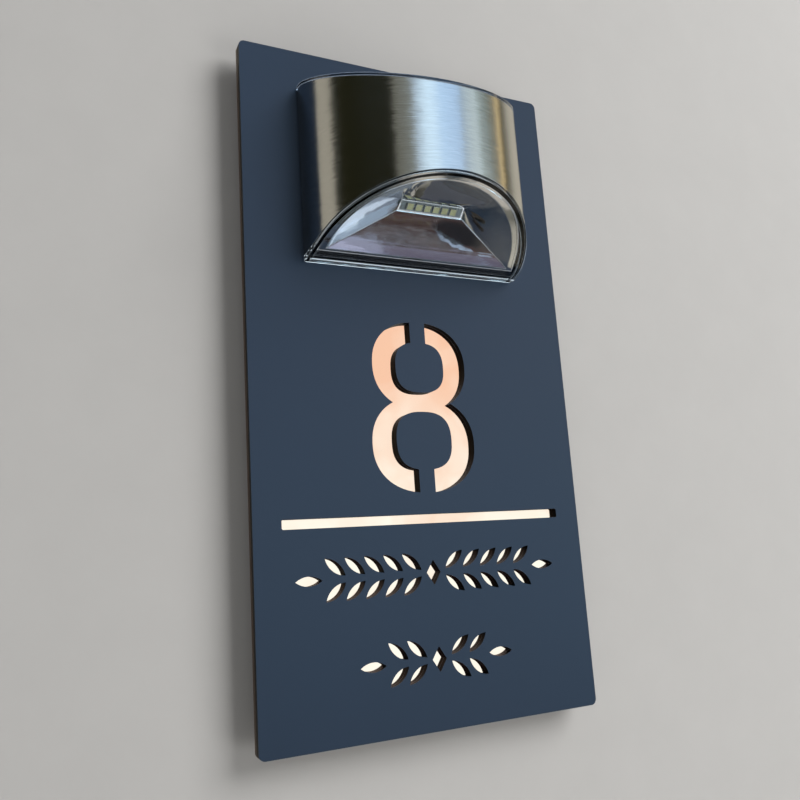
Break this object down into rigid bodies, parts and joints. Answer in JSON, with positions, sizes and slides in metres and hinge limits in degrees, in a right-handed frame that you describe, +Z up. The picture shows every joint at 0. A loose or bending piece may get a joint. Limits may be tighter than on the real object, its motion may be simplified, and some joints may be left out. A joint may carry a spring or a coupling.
{
  "type": "illuminated house number sign",
  "caption": "House number sign: a stencilled plate over a rose-gold mirror sheet, held off the wall on spacers and lit by a half-round solar lamp on keyhole screws.",
  "frame": {"origin": "middle of the wall stud pattern, on the wall's surface behind the middle of the plate", "axes": "+X to the right seen from the front, +Y into the wall, +Z up; the plate is tallest along Z and the lamp looks along -Y"},
  "size_m": [0.178, 0.073, 0.34],
  "materials": {
    "face_plate": "satin",
    "rose_mirror": "polished",
    "spacer_metal": "satin",
    "foam_pad": "matt",
    "fastener_steel": "satin",
    "steel_band": "brushed",
    "clear_lens": "clear",
    "clear_cover": "clear",
    "seal_rubber": "matt",
    "silicon_cell": "glossy",
    "panel_board": "glossy",
    "black_plastic": "satin",
    "bright_reflector": "polished",
    "white_board": "glossy",
    "led_body": "glossy",
    "led_phosphor": "satin",
    "green_board": "glossy",
    "chip_black": "matt",
    "cell_sleeve": "glossy",
    "contact_metal": "satin",
    "lead_jacket": "satin",
    "switch_shell": "satin",
    "switch_knob": "satin"
  },
  "bodies": {
    "sign": {"face_plate": "face_plate", "mirror_backing": "rose_mirror", "rear_spacers": "spacer_metal", "adhesive_pads": "foam_pad", "hanger_screws": "fastener_steel", "hanger_washers": "fastener_steel", "hanger_nuts": "fastener_steel"},
    "lamp": {"steel_band": "steel_band", "lens_housing": "clear_lens", "top_cover": "clear_cover", "panel_gasket": "seal_rubber", "solar_cells": "silicon_cell", "solar_panel": "panel_board", "panel_tray": "black_plastic", "back_plate": "black_plastic", "back_seal": "seal_rubber", "back_screws": "fastener_steel", "reflector": "bright_reflector", "led_board": "white_board", "led_packages": "led_body", "led_phosphors": "led_phosphor", "control_board": "green_board", "board_chips": "chip_black", "board_screws": "fastener_steel", "battery_holder": "black_plastic", "holder_screws": "fastener_steel", "battery_cell": "cell_sleeve", "positive_contact": "contact_metal", "negative_contact": "contact_metal", "panel_leads": "lead_jacket", "battery_leads": "lead_jacket", "led_leads": "lead_jacket", "switch_body": "switch_shell"},
    "switch_knob": {"switch_slider": "switch_knob"}
  },
  "joints": [
    {"name": "lamp_lift", "type": "slide", "parent": "sign", "child": "lamp", "axis": [0, 0, 1], "range_m": [0, 0.008]},
    {"name": "switch_slide", "type": "slide", "parent": "lamp", "child": "switch_knob", "axis": [1, 0, 0], "range_m": [0, 0.0025]}
  ]
}
